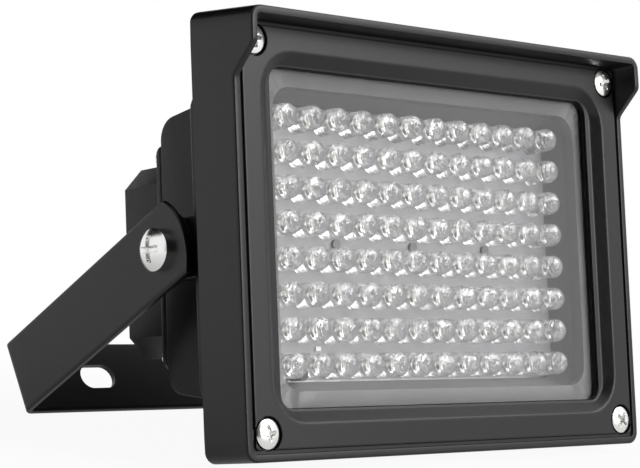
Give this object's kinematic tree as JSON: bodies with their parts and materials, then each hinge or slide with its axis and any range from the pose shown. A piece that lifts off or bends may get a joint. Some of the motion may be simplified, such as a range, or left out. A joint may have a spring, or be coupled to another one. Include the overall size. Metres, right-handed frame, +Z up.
{
  "type": "infrared illuminator",
  "caption": "Rectangular infrared lamp: a hooded cast bezel with a glass window over a grid of domed emitters, a stepped rear housing and a tilting U-bracket.",
  "frame": {"origin": "middle of the bounding box, on the surface that the lamp stands on", "axes": "+X to the lamp's right as seen from its front, +Y from the front to the back, +Z up; the face leans back and looks a little upwards"},
  "size_m": [0.172, 0.1362, 0.1311],
  "materials": {
    "bezel_coat": "satin black powder coat on die-cast aluminium",
    "housing_coat": "satin black powder coat on die-cast aluminium",
    "bracket_coat": "satin black powder coat on folded steel",
    "seal_rubber": "matt black silicone rubber",
    "window_glass": "clear toughened glass",
    "frame_grey": "matt grey moulded plastic",
    "tray_white": "matt light grey moulded plastic",
    "board_white": "white solder mask on circuit board",
    "led_epoxy": "clear epoxy lens",
    "sensor_dark": "dark translucent resin",
    "chip_ceramic": "white ceramic chip with tinned ends",
    "screw_dark": "blackened steel",
    "screw_steel": "polished stainless steel",
    "spreader_aluminium": "plain aluminium sheet",
    "board_green": "green solder mask on circuit board",
    "pillar_brass": "turned brass",
    "capacitor_can": "sleeved aluminium can",
    "coil_ferrite": "wound ferrite ring",
    "block_green": "green polyamide",
    "gland_nylon": "black polyamide"
  },
  "bodies": {
    "head": {"front_bezel": "bezel_coat", "rear_housing": "housing_coat", "rear_cover": "housing_coat", "front_seal": "seal_rubber", "housing_gasket": "seal_rubber", "cover_gasket": "seal_rubber", "gland_seal": "seal_rubber", "pivot_washers": "seal_rubber", "glass_window": "window_glass", "inner_frame": "frame_grey", "led_tray": "tray_white", "led_board": "board_white", "led_array": "led_epoxy", "light_sensor": "sensor_dark", "board_chip": "chip_ceramic", "board_screws": "screw_dark", "bezel_screws": "screw_steel", "pivot_bolts": "screw_steel", "cover_screws": "screw_steel", "spreader_screws": "screw_steel", "driver_screws": "screw_steel", "heat_spreader": "spreader_aluminium", "driver_board": "board_green", "driver_pillars": "pillar_brass", "driver_capacitors": "capacitor_can", "driver_coil": "coil_ferrite", "terminal_block": "block_green", "gland_body": "gland_nylon", "gland_lock_nut": "gland_nylon", "gland_cap": "gland_nylon"},
    "bracket": {"u_bracket": "bracket_coat"}
  },
  "joints": [
    {"name": "bracket_tilt", "type": "hinge", "parent": "head", "child": "bracket", "pos_m": [0, -0.00953, 0.05829], "axis": [1, 0, 0], "range_deg": [-75, 124]}
  ]
}
